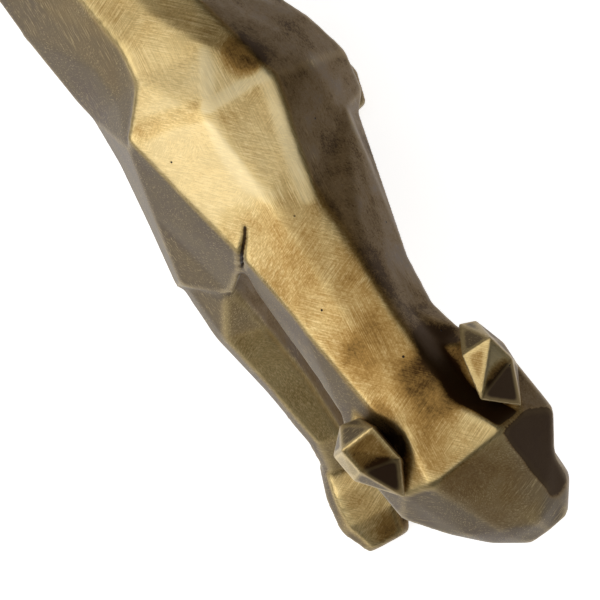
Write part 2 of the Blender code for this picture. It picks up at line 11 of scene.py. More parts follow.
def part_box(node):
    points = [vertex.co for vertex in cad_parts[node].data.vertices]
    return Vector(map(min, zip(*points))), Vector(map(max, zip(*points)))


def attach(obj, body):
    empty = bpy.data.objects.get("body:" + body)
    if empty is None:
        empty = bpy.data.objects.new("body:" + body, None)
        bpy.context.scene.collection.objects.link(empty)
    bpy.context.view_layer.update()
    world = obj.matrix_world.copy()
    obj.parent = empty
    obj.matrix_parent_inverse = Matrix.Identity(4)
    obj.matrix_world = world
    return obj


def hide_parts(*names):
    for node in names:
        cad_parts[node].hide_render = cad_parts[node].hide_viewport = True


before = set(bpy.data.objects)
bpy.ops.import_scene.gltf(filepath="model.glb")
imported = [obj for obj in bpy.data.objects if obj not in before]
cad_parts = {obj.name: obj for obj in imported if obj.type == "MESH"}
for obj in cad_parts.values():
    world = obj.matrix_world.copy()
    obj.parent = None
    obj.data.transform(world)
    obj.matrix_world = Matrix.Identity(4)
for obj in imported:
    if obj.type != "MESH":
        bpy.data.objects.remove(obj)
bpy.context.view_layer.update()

bl_info = {
    "name": "Stalking cat statue",
    "version": (1, 0, 0),
    "blender": (4, 5, 0),
    "location": "View3D > Sidebar > Statue",
    "description": "Builds the statue's brushed brass castings, its fittings and its studio",
    "category": "Add Mesh",
}

BODY = "root"
BRASS_NAME = "brushed_antique_brass"
MM = 0.001

# Positions below are in millimetres, drawn with the trunk's rear end and left side at these places.
DRAWN_REAR = -161.26 * MM
DRAWN_LEFT = 58.1 * MM
TRUNK_LOW, TRUNK_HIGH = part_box("trunk_shell")
SHIFT = np.array((TRUNK_LOW[0] - DRAWN_REAR, TRUNK_HIGH[1] - DRAWN_LEFT, 0.0))

# How near two corners are one, how flat an edge is left out, and the least share of a sharp corner.
MERGE_DISTANCE = 0.001 * MM
FLAT_ANGLE = math.radians(0.05)
SHARPEST = 0.35
# The square of the distance, in grains, that one round of smoothing spreads.
ROUND_SPREAD = 0.25
# Radii over which the skin is smoothed to tell its edges, its hollows and the way its facets face.
EDGE_RADIUS = 1.6 * MM
HOLLOW_RADIUS = 5.0 * MM
FACING_RADIUS = 1.2 * MM
# The share of a width or radius inside which a patch, a line and a softened ridge have their full effect.
PATCH_CORE = 0.45
LINE_CORE = 0.25
RIDGE_CORE = 0.4
# The castings that run into each other without a visible joint, and the skin that stands for each.
CASTINGS = {
    "trunk_shell": "trunk_skin",
    "neck_head_shell": "neck_head_skin",
    "right_foreleg": "right_foreleg_skin",
    "left_foreleg": "left_foreleg_skin",
    "right_hindleg": "right_hindleg_skin",
    "left_hindleg": "left_hindleg_skin",
    "tail": "tail_skin",
}
EARS = {"right_ear": "right_ear_skin", "left_ear": "left_ear_skin"}
RODS = ("right_foreleg_rod", "left_foreleg_rod", "right_hindleg_rod", "left_hindleg_rod", "tail_rod")
# What fills the castings' holes, so that the skin closes over them.
FILLERS = ("neck_collar", "belly_stopper", *RODS)
STEEL_FITTINGS = (*RODS, "right_ear_pin", "left_ear_pin")
PADS = ("right_foreleg_pad", "left_foreleg_pad", "right_hindleg_pad", "left_hindleg_pad")

# How bright the worn rims of the edges are; they also stand in as painted highlights along the edges.
BODY_RIM_SHEEN = 0.05
EAR_RIM_SHEEN = 0.28
# Ridges that are rubbed softer than the rest: the path, the width and the rounding radius.
SOFT_PATHS = (
    (((180, 22, 115), (205, 19, 113), (222, 17.6, 113), (238, 16, 113), (256, 13, 114)), 9.0, 3.2),
    (((120, 2, 117), (131, 9, 122.5), (148, 9, 121), (166, 8, 119)), 6.0, 1.6),
)
# How much painted shade the sides get that face the cat's left, away from the softboxes, and how much
# they have to face it.
LEFT_SHADE = 0.56
LEFT_FACING = (0.35, 0.75)
# Lines on the back painted brighter, as highlights on rubbed ridges (below 0), or darker, as patina
# with painted shade (above 0): the path in plan, its width and its amount. They fade in over these
# heights and with faces that look up this much.
BACK_HEIGHTS = (100 * MM, 108 * MM)
BACK_FACING = (0.82, 0.90)
BACK_LIGHT_LINES = (
    (((130, 11), (144, 7), (158, 6), (166, 9)), 4.0, -0.18),
    (((130, 11), (131, 22), (133, 36)), 3.2, -0.27),
    (((133, 33), (147, 28.5), (160, 23.5), (173, 18.5)), 4.2, -0.24),
    (((120, -12), (124, -1.6), (130, 10)), 5.0, 0.26),
    (((114, 22), (123, 17), (130, 11)), 3.2, -0.20),
)
# Where the brushing left more patina, with painted shade added (above 0), or took it off cleaner, with
# a painted highlight added (below 0): the patch's middle, its radius, the way its facet faces (None for
# any) and its amount.
PATINA_AND_LIGHT_PATCHES = (
    ((143, -4, 115), 34.0, (0.08, -0.39, 0.92), -0.20),
    ((112, 4, 116), 22.0, None, -0.12),
    ((123, 31, 116), 10.0, None, 0.50),
    ((125, 20, 118), 14.0, None, -0.16),
    ((152, 20, 116), 20.0, None, -0.12),
    ((167, -6, 113), 10.0, None, 0.16),
    ((178, -3, 113), 20.0, None, 0.10),
    ((206, -3, 112), 30.0, None, 0.17),
    ((205, 20, 112), 14.0, None, 0.16),
    ((231, 6, 113), 22.0, None, 0.26),
    ((249, 12, 113), 16.0, None, 0.40),
    ((262, -6, 112), 16.0, None, 0.24),
    ((280, 2, 110), 14.0, None, 0.14),
    ((262, 26, 107), 24.0, (-0.24, 0.75, 0.61), 1.10),
    ((262, -14, 108), 20.0, (-0.24, -0.75, 0.61), 0.50),
    ((284, 27, 97), 34.0, (0.63, 0.57, 0.525), 1.60),
    ((240, 21, 106), 13.0, None, 0.50),
    ((247, -8, 107), 10.0, None, 0.50),
    ((288, -2, 99), 30.0, (0.71, 0.0, 0.71), 0.22),
    ((281, -38, 8), 16.0, None, 0.45),
    ((215, -24, 36), 26.0, (0.0, 0.80, 0.60), 0.80),
    ((253, -17, 121), 12.0, (0.37, -0.19, 0.91), 0.34),
    ((263, -18, 115), 12.0, (0.62, -0.27, 0.73), 0.95),
    ((252, -28, 116), 12.0, (0.10, -0.87, 0.48), -0.24),
    ((252, 29, 121), 12.0, (0.12, -0.06, 0.99), 0.22),
    ((256, 34, 119), 9.5, (0.515, 0.345, 0.785), -0.70),
    ((265, 31, 113), 16.0, (0.72, 0.35, 0.595), 1.90),
)
# How near a facet's direction has to be to a patch's: the cosines where its share starts and is whole.
SAME_FACET = (0.935, 0.975)
# The stopper's seat in the skin: half the width of its edge, its depth, and its reach up and down.
SEAT_LIP = 0.6 * MM
SEAT_DEPTH = 1.4 * MM
SEAT_REACH = 3 * MM
# The narrow cleft where the neck meets the right shoulder, from its shallow end to its deep end. Its
# depth in millimetres starts at the first number and grows by the second.
CLEFT = ((168, -4.5, 114), (170.5, -7, 113), (173, -10.5, 111.5), (176, -14.5, 106))
CLEFT_HEIGHTS = (100 * MM, 104 * MM)
CLEFT_REACH = 6 * MM
CLEFT_DEPTH = (0.5, 1.9)
CLEFT_PULL = (1.5 * MM, 0.35)
CLEFT_WIDTH = 0.8 * MM
CLEFT_LINE = (0.75 * MM, 0.35 * MM)
# The brush marks' directions in degrees, and how often their noise repeats per metre on each axis.
BRUSH_STROKES = ((12, (60, 2900, 1500)), (72, (70, 3100, 1500)), (-38, (65, 2700, 1500)))
# The studio: half the floor's side, where the floor's glow ends and is whole, the colours, and each
# softbox's place, width, depth and brightness setting.
FLOOR_REACH = 4.0
GLOW_EDGE = (0.62, 0.36)
ROOM_COLOUR = (0.94, 0.95, 1.0, 1.0)
SOFTBOX_COLOUR = (1.0, 0.975, 0.94)
SOFTBOXES = (
    ("overhead_softbox", (-0.05, -0.25, 1.40), 2.1, 3.2, "overhead"),
    ("key_softbox", (0.05, -1.25, 1.15), 1.3, 1.1, "key"),
)


# --------------------------------------------------------------------------------------------------
# Settings
# --------------------------------------------------------------------------------------------------
class CastingSettings(bpy.types.PropertyGroup):
    """How finely the castings are modelled and how soft their edges are."""

    skin_grain: bpy.props.FloatProperty(
        name="Skin grain", description="Size of the skin's facets", default=1.05 * MM, unit="LENGTH"
    )
    ear_grain: bpy.props.FloatProperty(
        name="Ear grain", description="Size of the ears' facets", default=0.36 * MM, unit="LENGTH"
    )
    joint_fill: bpy.props.FloatProperty(
        name="Joint fill",
        description="How far filler closes the joints",
        default=0.22 * MM,
        unit="LENGTH",
    )
    ear_fill: bpy.props.FloatProperty(
        name="Ear fill", description="How far the ears' skins stand out", default=0.44 * MM, unit="LENGTH"
    )
    edge_softness: bpy.props.FloatProperty(
        name="Edge softness",
        description="Radius that sanding leaves on the edges",
        default=1.3 * MM,
        unit="LENGTH",
    )
    ear_softness: bpy.props.FloatProperty(
        name="Ear edge softness",
        description="Radius on the ears' edges",
        default=0.5 * MM,
        unit="LENGTH",
    )


class FinishSettings(bpy.types.PropertyGroup):
    """The colours of the antique brass."""

    brass: bpy.props.FloatVectorProperty(
        name="Brass", description="Burnished brass", default=(0.87, 0.665, 0.30), subtype="COLOR"
    )
    # Scratched bright brass, also the colour of the painted highlights.
    burnish_and_highlight: bpy.props.FloatVectorProperty(
        name="Burnished", description="Scratched bright", default=(0.96, 0.86, 0.58), subtype="COLOR"
    )
    shadow: bpy.props.FloatVectorProperty(
        name="Shadow", description="Deep in the cleft", default=(0.020, 0.010, 0.005), subtype="COLOR"
    )
    # Painted shade inside a pinhole.
    pinhole: bpy.props.FloatVectorProperty(
        name="Pinhole", description="Inside a pinhole", default=(0.015, 0.010, 0.008), subtype="COLOR"
    )
    # Tarnish: also the colour of painted shade, where the patches add it.
    tarnish: bpy.props.FloatVectorProperty(
        name="Tarnish",
        description="Brass under a thin tarnish",
        default=(0.40, 0.232, 0.062),
        subtype="COLOR",
    )
    # Patina: also the colour of the darkest painted shade, where the patches add it.
    patina: bpy.props.FloatVectorProperty(
        name="Patina",
        description="Brown patina in the recesses",
        default=(0.045, 0.020, 0.007),
        subtype="COLOR",
    )
    # Painted shade of the facets that face sideways, over their brushed patina.
    olive: bpy.props.FloatVectorProperty(
        name="Side olive",
        description="Brushed patina on the sides",
        default=(0.135, 0.093, 0.040),
        subtype="COLOR",
    )
    # A greyish painted reflection and shade on the sides, in clouds with the olive.
    bloom: bpy.props.FloatVectorProperty(
        name="Side bloom",
        description="Greyish patina low on the sides",
        default=(0.105, 0.068, 0.039),
        subtype="COLOR",
    )


class StudioSettings(bpy.types.PropertyGroup):
    """The camera, the lights and the floor."""

    target: bpy.props.FloatVectorProperty(
        name="Target",
        description="Point the camera looks at",
        default=(0.1986, -0.0049, 0.114),
        unit="LENGTH",
    )
    tilt_left: bpy.props.FloatProperty(
        name="Tilt left",
        description="Lean of the view to the cat's left",
        default=math.radians(6),
        unit="ROTATION",
    )
    tilt_forward: bpy.props.FloatProperty(
        name="Tilt forward",
        description="Lean of the view forwards",
        default=math.radians(6),
        unit="ROTATION",
    )
    roll: bpy.props.FloatProperty(
        name="Roll", description="Turn of the picture", default=math.radians(38.2), unit="ROTATION"
    )
    distance: bpy.props.FloatProperty(
        name="Distance", description="Camera to target", default=0.72, unit="LENGTH"
    )
    lens: bpy.props.FloatProperty(name="Lens", description="Focal length in millimetres", default=129.6)
    overhead: bpy.props.FloatProperty(
        name="Overhead", description="Brightness of the overhead softbox", default=0.85
    )
    key: bpy.props.FloatProperty(
        name="Key", description="Brightness of the softbox at the cat's right", default=1.1
    )
    table_glow: bpy.props.FloatProperty(
        name="Table glow", description="Brightness of the lit part of the floor", default=0.78
    )
    glow_middle: bpy.props.FloatVectorProperty(
        name="Glow middle",
        description="Middle of the floor's lit part",
        default=(0.16, -0.14, 0.0),
        unit="LENGTH",
    )
    room: bpy.props.FloatProperty(name="Room", description="Brightness of the room", default=0.05)


# --------------------------------------------------------------------------------------------------
# Meshes as arrays
# --------------------------------------------------------------------------------------------------
def merged_copy(node):
    """A merged bmesh copy of a CAD node. The caller frees it."""
    made = bmesh.new()
    made.from_mesh(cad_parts[node].data)
    bmesh.ops.remove_doubles(made, verts=made.verts, dist=MERGE_DISTANCE)
    return made


def grown_copy(node, amount):
    """A merged copy of a CAD node whose faces stand out by an amount."""
    made = merged_copy(node)
    bmesh.ops.dissolve_limit(made, angle_limit=FLAT_ANGLE, verts=made.verts, edges=made.edges)
    bmesh.ops.triangulate(made, faces=made.faces)
    made.normal_update()
    moves = []
    for vertex in made.verts:
        normals = [face.normal for face in vertex.link_faces]
        mean = sum(normals, Vector()).normalized()
        least = min(mean.dot(normal) for normal in normals)
        moves.append(mean * amount / max(least, SHARPEST))
    for vertex, move in zip(made.verts, moves):
        vertex.co += move
    return made


def joined(meshes):
    """One mesh datablock that holds several bmeshes, which it frees."""
    whole = bmesh.new()
    for part in meshes:
        piece = bpy.data.meshes.new("part")
        part.to_mesh(piece)
        part.free()
        whole.from_mesh(piece)
        bpy.data.meshes.remove(piece)
    mesh = bpy.data.meshes.new("joined")
    whole.to_mesh(mesh)
    whole.free()
    return mesh


def remeshed(mesh, grain):
    """Points and quads of the closed skin round a mesh."""
    holder = bpy.data.objects.new("remesh_holder", mesh)
    bpy.context.scene.collection.objects.link(holder)
    modifier = holder.modifiers.new("skin", "REMESH")
    modifier.mode = "VOXEL"
    modifier.voxel_size = grain
    modifier.adaptivity = 0.0
    bpy.context.view_layer.update()
    result = holder.evaluated_get(bpy.context.evaluated_depsgraph_get()).to_mesh()
    points = np.empty(len(result.vertices) * 3)
    result.vertices.foreach_get("co", points)
    corners = np.empty(len(result.loops), np.int64)
    result.loops.foreach_get("vertex_index", corners)
    bpy.data.objects.remove(holder)
    bpy.data.meshes.remove(mesh)
    return outer_shell(points.reshape(-1, 3), corners.reshape(-1, 4))


def edges_of(quads):
    """Each edge of some quads once, as pairs of point numbers."""
    pairs = np.concatenate([quads[:, [0, 1]], quads[:, [1, 2]], quads[:, [2, 3]], quads[:, [3, 0]]])
    return np.unique(np.sort(pairs, axis=1), axis=0)


def outer_shell(points, quads):
    """Only the connected shell with the most points, without inner cavities."""
    edges = edges_of(quads)
    label = np.arange(len(points))
    while True:
        low = np.minimum(label[edges[:, 0]], label[edges[:, 1]])
        spread = label.copy()
        np.minimum.at(spread, edges[:, 0], low)
        np.minimum.at(spread, edges[:, 1], low)
        spread = spread[spread]
        if (spread == label).all():
            break
        label = spread
    shells, counts = np.unique(label, return_counts=True)
    keep = label == shells[counts.argmax()]
    number = np.cumsum(keep) - 1
    return points[keep], number[quads[keep[quads[:, 0]]]]


def carve_cleft(skin):
    """Draws the skin together along the cleft and presses it in, deeper towards the cleft's far end."""
    path = placed(CLEFT)
    whole = np.linalg.norm(path[-1] - path[0])
    nearest = np.full(len(skin.points), np.inf)
    foot = skin.points.copy()
    for start, end in zip(path, path[1:]):
        length = end - start
        along = (skin.points - start) @ length / (length @ length)
        t = np.clip(along, 0, 1)
        on_path = start + t[:, None] * length
        offset = skin.points - on_path
        gap = np.hypot(offset[:, 0], offset[:, 1])
        closer = (gap < nearest) & (np.abs(offset[:, 2]) < CLEFT_REACH)
        nearest = np.where(closer, gap, nearest)
        foot[closer, :2] = on_path[closer, :2]
    shallow, deeper = CLEFT_DEPTH
    depth = (shallow + deeper * np.linalg.norm((foot - path[0])[:, :2], axis=1) / whole) * MM
    pull_width, pull_share = CLEFT_PULL
    pull = np.exp(-((nearest / pull_width) ** 2))[:, None]
    press = (depth * np.exp(-((nearest / CLEFT_WIDTH) ** 2)))[:, None]
    skin.points = skin.points + (foot - skin.points) * pull * pull_share - skin.normals() * press


def seat_stopper(skin):
    """Presses the skin in round the stopper, so that the stopper's face stands in its own seat."""
    low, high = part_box("belly_stopper")
    middle = (low + high) / 2
    radius = (high.x - low.x) / 2
    gap = np.hypot(skin.points[:, 0] - middle.x, skin.points[:, 1] - middle.y)
    share = smooth_step(radius + SEAT_LIP, radius - SEAT_LIP, gap)
    share[np.abs(skin.points[:, 2] - low.z) > SEAT_REACH] = 0.0
    skin.points[:, 2] += SEAT_DEPTH * share


class Skin:
    """A closed skin of quads, as arrays."""

    def __init__(self, points, quads):
        self.points = points
        self.quads = quads
        edges = edges_of(quads)
        self.ends = np.concatenate([edges[:, 0], edges[:, 1]])
        self.others = np.concatenate([edges[:, 1], edges[:, 0]])
        self.count = np.bincount(self.ends, minlength=len(points)).astype(float)

    def averaged(self, values):
        """The mean of each point's neighbours."""
        size = len(self.points)
        columns = values.reshape(size, -1).T
        sums = [np.bincount(self.ends, column[self.others], size) for column in columns]
        return (np.stack(sums, 1) / self.count[:, None]).reshape(values.shape)

    def relaxed(self, values, rounds, share=0.5):
        """Values smoothed over the skin. The share may differ from point to point."""
        share = share if np.isscalar(share) or values.ndim == 1 else share[:, None]
        for _ in range(rounds):
            values = values + share * (self.averaged(values) - values)
        return values

    def rounds_for(self, radius, grain):
        """How many rounds smooth over a radius."""
        return max(1, round((radius / grain) ** 2 / ROUND_SPREAD))

    def normals(self):
        """Each point's outward direction."""
        corner = self.points[self.quads]
        across = np.cross(corner[:, 2] - corner[:, 0], corner[:, 3] - corner[:, 1])
        total = np.zeros_like(self.points)
        for owner in self.quads.T:
            for axis in range(3):
                total[:, axis] += np.bincount(owner, weights=across[:, axis], minlength=len(total))
        return total / np.maximum(np.linalg.norm(total, axis=1), 1e-12)[:, None]


def smooth_step(low, high, values):
    """0 below low, 1 above high and a smooth rise between."""
    t = np.clip((values - low) / (high - low), 0, 1)
    return t * t * (3 - 2 * t)


def patina_and_light_patches(points, normals):
    """How much more patina and painted shade than usual each point has; below 0, a painted highlight."""
    amount = np.zeros(len(points))
    for middle, radius, facing, more in PATINA_AND_LIGHT_PATCHES:
        away = np.linalg.norm(points - placed(middle), axis=1)
        share = smooth_step(radius * MM, radius * PATCH_CORE * MM, away)
        if facing is not None:
            along = np.array(facing) / np.linalg.norm(facing)
            share *= smooth_step(*SAME_FACET, normals @ along)
        amount += more * share
    # Painted shade on the sides that face the cat's left.
    amount += LEFT_SHADE * smooth_step(*LEFT_FACING, normals[:, 1])
    upper = smooth_step(*BACK_HEIGHTS, points[:, 2]) * smooth_step(*BACK_FACING, normals[:, 2])
    for path, width, more in BACK_LIGHT_LINES:
        away = distance_to_path(points * (1, 1, 0), [(x, y, 0) for x, y in path])
        amount += more * upper * smooth_step(width * MM, width * LINE_CORE * MM, away)
    return amount


def surface_facts(skin, grain, rim_wear_and_sheen):
    """What the finish reads: edges and rims, hollows, the facets' facing, patina and painted light."""
    normals = skin.normals()
    fine = skin.relaxed(skin.points, skin.rounds_for(EDGE_RADIUS, grain))
    broad = skin.relaxed(fine, skin.rounds_for(HOLLOW_RADIUS, grain))
    edge = ((skin.points - fine) * normals).sum(1) / MM
    hollow = -((skin.points - broad) * normals).sum(1) / MM
    facing = skin.relaxed(normals[:, 2], skin.rounds_for(FACING_RADIUS, grain))
    return {
        "worn_edge": smooth_step(0.02, 0.22, edge),
        "recess": smooth_step(0.15, 1.6, hollow),
        "crease": smooth_step(0.04, 0.35, -edge),
        "facing": facing,
        "patina_and_painted_light": patina_and_light_patches(skin.points, skin.relaxed(normals, 3)),
        "rim_wear_and_sheen": rim_wear_and_sheen * smooth_step(0.04, 0.16, edge),
    }


def make_piece(name, points, faces, normals, facts, finish):
    """A piece at the origin with smooth shading, its surface facts and its finish."""
    mesh = bpy.data.meshes.new(name)
    mesh.from_pydata(points.tolist(), [], faces)
    mesh.polygons.foreach_set("use_smooth", np.ones(len(mesh.polygons), bool))
    for fact, values in facts.items():
        mesh.attributes.new(fact, "FLOAT", "POINT").data.foreach_set("value", values.astype(np.float32))
    mesh.update()
    mesh.normals_split_custom_set_from_vertices(normals.tolist())
    mesh.materials.append(finish)
    made = bpy.data.objects.new(name, mesh)
    bpy.context.scene.collection.objects.link(made)
    return made


def boundary_loops(faces):
    """The closed loops of edges that only one face has, each in the face's direction."""
    following = {}
    seen = {}
    for face in faces:
        for a, b in zip(face, face[1:] + face[:1]):
            seen[(a, b)] = True
    for a, b in seen:
        if (b, a) not in seen:
            following.setdefault(a, []).append(b)
    loops = []
    while following:
        start = next(iter(following))
        loop = [start]
        here = following[start].pop()
        if not following[start]:
            del following[start]
        while here != start:
            loop.append(here)
            onwards = following[here].pop()
            if not following[here]:
                del following[here]
            here = onwards
        loops.append(loop)
    return loops


def cut_out(skin, normals, facts, mask):
    """The faces of a skin in a mask as a closed piece: points, faces, normals and facts."""
    quads = skin.quads[mask]
    used = np.unique(quads)
    number = np.full(len(skin.points), -1)
    number[used] = np.arange(len(used))
    faces = number[quads].tolist()
    points = skin.points[used]
    directions = normals[used]
    values = {fact: column[used] for fact, column in facts.items()}
    for loop in boundary_loops(faces):
        middle = len(points)
        points = np.vstack([points, points[loop].mean(0)])
        directions = np.vstack([directions, directions[loop].mean(0)])
        values = {fact: np.append(column, column[loop].mean()) for fact, column in values.items()}
        faces += [[b, a, middle] for a, b in zip(loop, loop[1:] + loop[:1])]
    return points, faces, directions, values


def nearest_casting(points):
    """The number of the casting whose own surface is nearest to each point."""
    vertices, triangles, owner = [], [], []
    for index, node in enumerate(CASTINGS):
        shape = merged_copy(node)
        bmesh.ops.triangulate(shape, faces=shape.faces)
        start = len(vertices)
        vertices += [vertex.co.copy() for vertex in shape.verts]
        triangles += [[start + v.index for v in face.verts] for face in shape.faces]
        owner += [index] * len(shape.faces)
        shape.free()
    tree = BVHTree.FromPolygons(vertices, triangles)
    return np.array([owner[tree.find_nearest(point)[2]] for point in points.tolist()])


# --------------------------------------------------------------------------------------------------
# Finishes
# --------------------------------------------------------------------------------------------------
class Wire:
    """A shader socket that takes part in Python expressions."""

    def __init__(self, finish, socket):
        self.finish = finish
        self.socket = socket

    def maths(self, operation, first, second):
        """The wire of a maths node."""
        return self.finish.node("ShaderNodeMath", {"operation": operation}, {0: first, 1: second})

    def __add__(self, other):
        return self.maths("ADD", self, other)

    __radd__ = __add__

    def __mul__(self, other):
        return self.maths("MULTIPLY", self, other)

    __rmul__ = __mul__

    def __sub__(self, other):
        return self.maths("SUBTRACT", self, other)

    def __rsub__(self, other):
        return self.maths("SUBTRACT", other, self)


class Finish:
    """A material that is built up node by node."""

    def __init__(self, name):
        self.material = bpy.data.materials.new(name)
        self.material.use_nodes = True
        self.tree = self.material.node_tree
        self.tree.nodes.clear()
        self.shader = self.tree.nodes.new("ShaderNodeBsdfPrincipled")
        output = self.tree.nodes.new("ShaderNodeOutputMaterial")
        self.tree.links.new(self.shader.outputs[0], output.inputs["Surface"])
        self.place = self.node("ShaderNodeTexCoord", {}, {}, "Object")

    def feed(self, socket, value):
        """Links a wire to a socket, or sets its value."""
        if isinstance(value, Wire):
            self.tree.links.new(value.socket, socket)
        else:
            socket.default_value = value

    def node(self, kind, settings, inputs, output=0):
        """Adds a node with its settings first, then the values or links of its sockets."""
        made = self.tree.nodes.new(kind)
        for setting, value in settings.items():
            setattr(made, setting, value)
        for socket, value in inputs.items():
            self.feed(made.inputs[socket], value)
        return Wire(self, made.outputs[output])

    def vector(self, operation, inputs, output=0):
        """Vector maths."""
        return self.node("ShaderNodeVectorMath", {"operation": operation}, inputs, output)

    def fact(self, name):
        """One of the piece's own surface facts."""
        return self.node("ShaderNodeAttribute", {"attribute_name": name}, {}, "Fac")

    def turned(self, degrees, scale):
        """Object coordinates turned about Z and then stretched."""
        turned = self.node(
            "ShaderNodeVectorRotate",
            {"rotation_type": "Z_AXIS"},
            {"Vector": self.place, "Angle": math.radians(degrees)},
        )
        return self.vector("MULTIPLY", {0: turned, 1: scale})

    def noise(self, vector, scale, detail=2.0, rough=0.5):
        """Soft noise from 0 to 1."""
        inputs = {"Vector": vector, "Scale": scale, "Detail": detail, "Roughness": rough}
        return self.node("ShaderNodeTexNoise", {}, inputs, "Fac")

    def rise(self, value, low, high):
        """0 below low, 1 above high and a smooth rise between."""
        return self.node(
            "ShaderNodeMapRange",
            {"interpolation_type": "SMOOTHSTEP"},
            {"Value": value, "From Min": low, "From Max": high},
        )

    def mix(self, factor, first, second):
        """A colour between two colours."""
        first, second = (c if isinstance(c, Wire) else (*c[:3], 1.0) for c in (first, second))
        return self.node("ShaderNodeMix", {"data_type": "RGBA"}, {0: factor, 6: first, 7: second}, 2)

    def line_distance(self, start, end):
        """The distance in plan from a straight line between two points."""
        first = Vector((start[0], start[1], 0.0))
        reach = Vector((end[0] - start[0], end[1] - start[1], 0.0))
        here = self.vector("MULTIPLY", {0: self.place, 1: (1.0, 1.0, 0.0)})
        offset = self.vector("SUBTRACT", {0: here, 1: first})
        along = self.vector("DOT_PRODUCT", {0: offset, 1: reach / reach.length_squared}, "Value")
        along = self.node("ShaderNodeClamp", {}, {"Value": along})
        foot = self.vector("SCALE", {0: reach, "Scale": along})
        return self.vector("DISTANCE", {0: offset, 1: foot}, "Value")

    def bump(self, height, distance, strength):
        """A bumped normal."""
        inputs = {"Height": height, "Distance": distance, "Strength": strength}
        return self.node("ShaderNodeBump", {}, inputs, "Normal")

    def set(self, **inputs):
        """Sets or links the shader's sockets, named with underscores."""
        for name, value in inputs.items():
            self.feed(self.shader.inputs[name.replace("_", " ")], value)


def antique_brass(settings):
    """Brass that was patinated brown, brushed by hand until the raised facets shone, and lacquered, with
    painted shade on the sideways facets and painted shade and highlights in patches.
    """
    f = Finish(BRASS_NAME)
    worn_edge, recess, crease, facing = (f.fact(n) for n in ("worn_edge", "recess", "crease", "facing"))

    # Brush marks: fine streaks in three directions, each strongest in its own patches.
    patch_a = f.rise(f.noise(f.place, 34.0, 1.0), 0.42, 0.58)
    patch_b = f.rise(f.noise(f.turned(40, (1, 1, 1)), 47.0, 1.0), 0.40, 0.62)
    along, across, slant = (f.noise(f.turned(*stroke), 1.0, 2.0, 0.6) for stroke in BRUSH_STROKES)
    streaks = along + patch_a * (across - along)
    streaks = streaks + patch_b * (slant - streaks) * 0.75
    scratches = f.rise(streaks, 0.50, 0.68)

    # Patina: broad clouds, blotches and fine speckles, which the brushing leaves in the recesses, with
    # the painted shade and painted highlights of the patches added in.
    cloud = f.noise(f.place, 26.0, 3.0, 0.55)
    blotch = f.noise(f.place, 120.0, 4.0, 0.6)
    speckle = f.noise(f.place, 1150.0, 2.0, 0.7)
    patina_and_painted_light = f.fact("patina_and_painted_light")
    patchy = patina_and_painted_light * (0.45 + cloud * 0.5 + blotch * 0.6)
    dirt_and_shade = cloud * 0.55 + blotch * 0.45 + recess * 0.35 + crease * 0.45 + patchy - worn_edge * 0.30
    # Tarnish and deep brown from the patina, and painted shade where the patches add to it.
    tarnish_and_shade = f.rise(dirt_and_shade + (speckle - 0.5) * 0.50 + (0.5 - streaks) * 0.60, 0.26, 0.90)
    brown = f.rise(dirt_and_shade + (speckle - 0.5) * 0.45 + (0.5 - streaks) * 0.60, 0.70, 1.35)

    dull = tuple(0.78 * c for c in settings.brass)
    colour = f.mix(f.rise(streaks + (blotch - 0.5) * 0.5, 0.62, 0.36), settings.brass, dull)
    colour = f.mix(tarnish_and_shade, colour, settings.tarnish)
    # Painted highlight: where the patches and lines go below 0, the brass turns pale and burnished.
    pale = f.rise(patina_and_painted_light, -0.02, -0.42)
    colour = f.mix(scratches * (1 - tarnish_and_shade) * 0.30 + pale * 0.38, colour, settings.burnish_and_highlight)
    colour = f.mix(brown, colour, settings.patina)
    # Painted shade: facets that face sideways rather than up take the side colours, less so on worn edges
    # and under the painted highlights.
    side_shade = f.rise(facing, 0.86, 0.55) * (1 - worn_edge * 0.20) * (1 - f.rise(patina_and_painted_light, -0.05, -0.45))
    hatch = (scratches - 0.25) * 0.34
    shade = f.mix(f.rise(cloud * 0.6 + blotch * 0.4, 0.32, 0.56), settings.bloom, settings.olive)
    colour = f.mix(side_shade * (0.93 - hatch) * (1 - brown * 0.8), colour, shade)
    # Worn rims, brightened as painted highlights along the edges.
    colour = f.mix(f.fact("rim_wear_and_sheen") * 0.85, colour, settings.brass)

    # The shadow line down in the cleft.
    cleft = placed(CLEFT)
    reaches = [f.line_distance(start, end) for start, end in zip(cleft, cleft[1:])]
    nearest = reaches[0]
    for other in reaches[1:]:
        nearest = nearest.maths("MINIMUM", nearest, other)
    level = f.node("ShaderNodeSeparateXYZ", {}, {"Vector": f.place}, "Z")
    line = f.rise(nearest, *CLEFT_LINE) * f.rise(level, *CLEFT_HEIGHTS)
    colour = f.mix(line * 0.92, colour, settings.shadow)

    # Pinholes of the casting: a few small round pits, painted near black as the shade inside them.
    cells = {"Vector": f.place, "Scale": 170.0, "Randomness": 1.0}
    reach = f.node("ShaderNodeTexVoronoi", {"feature": "F1"}, cells, "Distance")
    pick = f.node("ShaderNodeTexVoronoi", {"feature": "F1"}, cells, "Color")
    chosen = f.rise(f.node("ShaderNodeSeparateColor", {}, {"Color": pick}, "Red"), 0.90, 0.92)
    pit = f.rise(reach, 0.085, 0.050) * chosen
    colour = f.mix(pit, colour, settings.pinhole)

    height = streaks * 0.7 + speckle * 0.3 - pit * 3.0
    f.set(
        Base_Color=colour,
        Metallic=1.0 - side_shade * (1 - brown) * 0.55,
        Roughness=0.38 + streaks * 0.14 + brown * 0.08 + side_shade * 0.10 - worn_edge * 0.08,
        Normal=f.bump(height, 0.08 * MM, 0.65),
        Coat_Weight=0.15 * (1 - brown),
        Coat_Roughness=0.30,
    )
    return f.material


